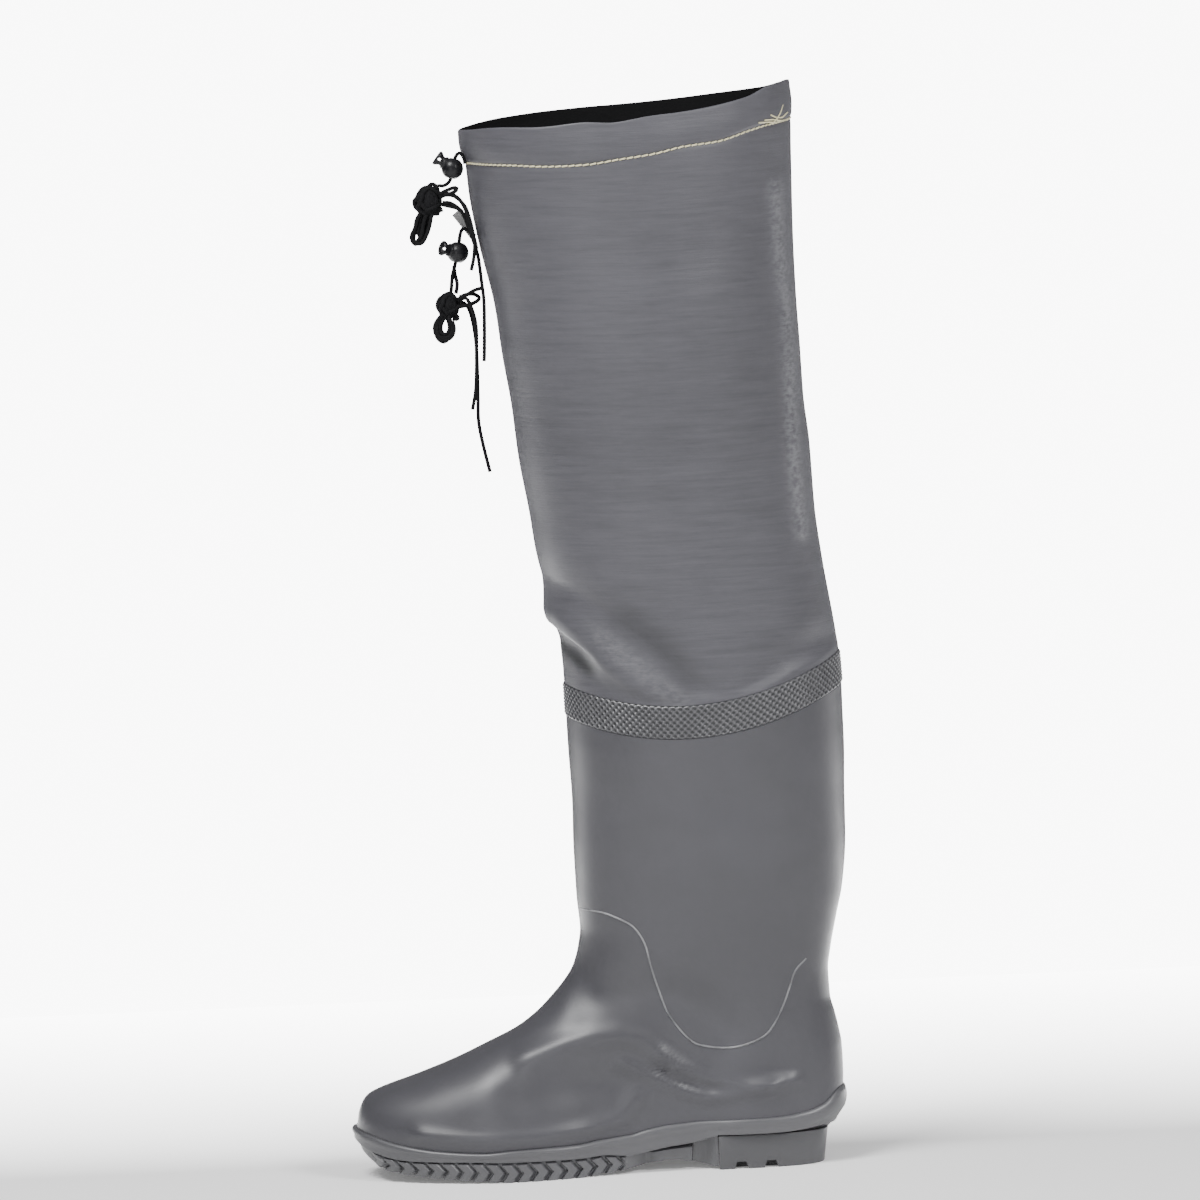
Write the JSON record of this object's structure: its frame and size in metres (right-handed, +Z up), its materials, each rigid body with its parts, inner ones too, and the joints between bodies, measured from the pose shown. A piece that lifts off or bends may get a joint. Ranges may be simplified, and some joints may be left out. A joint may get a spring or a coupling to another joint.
{
  "type": "hip wader",
  "caption": "Left hip wader: moulded ankle and calf boot with heeled tread, welded to a coated fabric thigh shaft with drawcords.",
  "frame": {"origin": "middle of the boot's box, on the floor under the sole", "axes": "+Z up the leg, -X towards the toe, -Y the outer side of the left leg"},
  "size_m": [0.3117, 0.151, 0.6616],
  "materials": {
    "sole_rubber": "semi-matt moulded grey",
    "insole_felt": "black felt",
    "boot_pvc": "smooth moulded grey, soft sheen",
    "shaft_fabric": "coated grey fabric, fine cross grain, black inside",
    "tab_fabric": "light grey tape",
    "lock_plastic": "black moulded plastic",
    "cord": "black braided cord"
  },
  "bodies": {
    "root": {"sole": "sole_rubber", "heel": "sole_rubber", "insole": "insole_felt", "upper": "boot_pvc", "join_band": "boot_pvc", "shaft": "shaft_fabric", "tab": "tab_fabric", "lock_ball_upper": "lock_plastic", "lock_plunger_upper": "lock_plastic", "lock_ball_lower": "lock_plastic", "lock_plunger_lower": "lock_plastic", "knot_upper": "cord", "knot_lower": "cord", "drawcord_upper": "cord", "loop_upper": "cord", "tail_upper_short": "cord", "tail_upper_long": "cord", "drawcord_lower": "cord", "loop_lower": "cord", "tail_lower_short": "cord", "tail_lower_long": "cord"}
  },
  "joints": []
}
